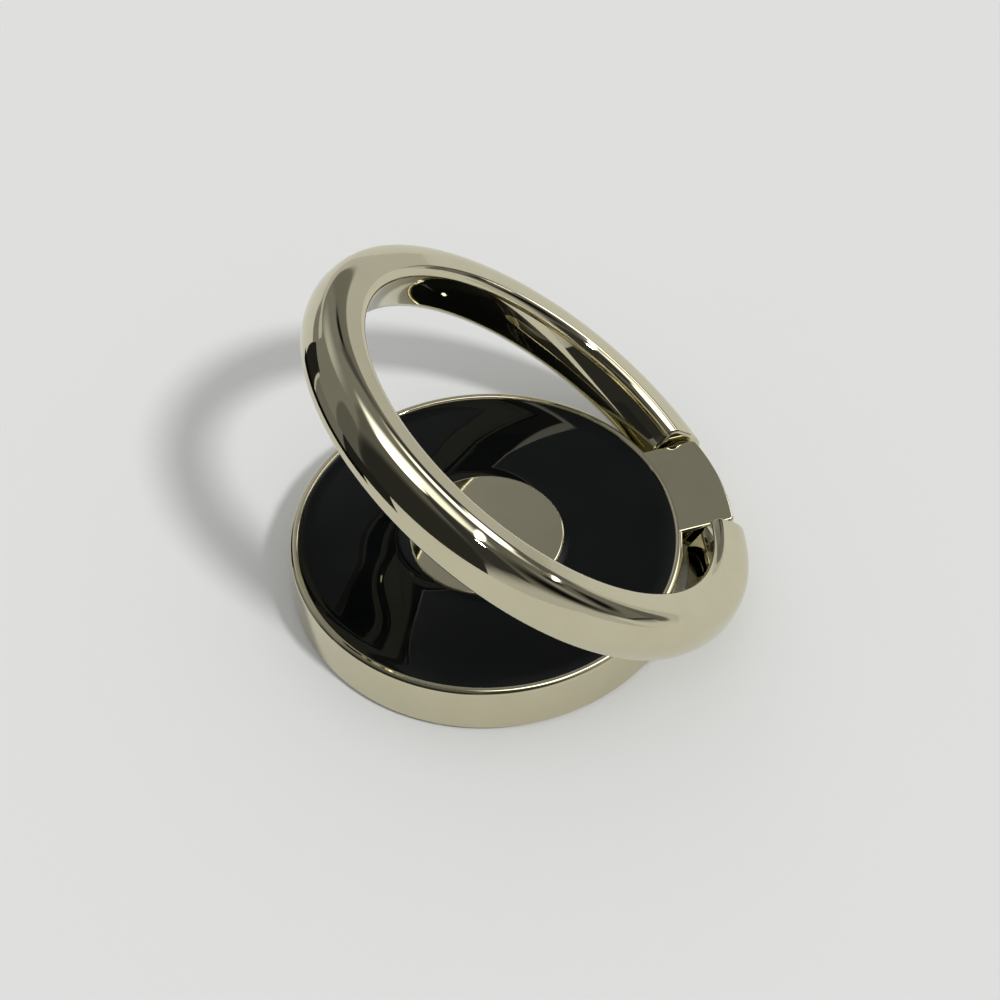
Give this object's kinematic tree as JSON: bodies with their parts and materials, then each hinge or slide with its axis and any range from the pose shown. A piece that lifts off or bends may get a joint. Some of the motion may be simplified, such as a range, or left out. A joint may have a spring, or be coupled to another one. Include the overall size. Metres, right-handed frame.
{
  "type": "phone ring holder",
  "caption": "Polished pale-gold phone ring holder: a swivelling black-enamel disc that sticks to a phone, with a finger ring hinged at its edge that folds flat or props the phone up.",
  "frame": {"origin": "centre of the adhesive pad's bonding face, on the swivel axis", "axes": "+Z out of the phone's back along the swivel axis, +X towards the hinge block, +Y along the hinge pin"},
  "size_m": [0.034, 0.0386, 0.0261],
  "materials": {
    "plated_zinc": "mirror-polished zinc casting with a pale champagne-gold plate",
    "black_enamel": "poured glossy black epoxy enamel",
    "bright_steel": "bright stamped and turned steel",
    "white_nylon": "matt nylon",
    "foam_tape": "matt closed-cell foam tape"
  },
  "bodies": {
    "base": {"adhesive_pad": "foam_tape", "swivel_plate": "bright_steel"},
    "head": {"housing": "plated_zinc", "enamel_inlay": "black_enamel", "hinge_pin": "bright_steel", "hinge_washer_front": "white_nylon", "hinge_washer_back": "white_nylon", "center_rivet": "bright_steel", "friction_disc": "white_nylon", "disc_spring": "bright_steel"},
    "loop": {"finger_ring": "plated_zinc"}
  },
  "joints": [
    {"name": "swivel", "type": "hinge", "parent": "base", "child": "head", "pos_m": [0, 0, 0.0019], "axis": [0, 0, 1], "continuous": true},
    {"name": "ring_hinge", "type": "hinge", "parent": "head", "child": "loop", "pos_m": [0.0175, 0, 0.0025], "axis": [0, 1, 0], "range_deg": [-38.04, 141.96]}
  ]
}
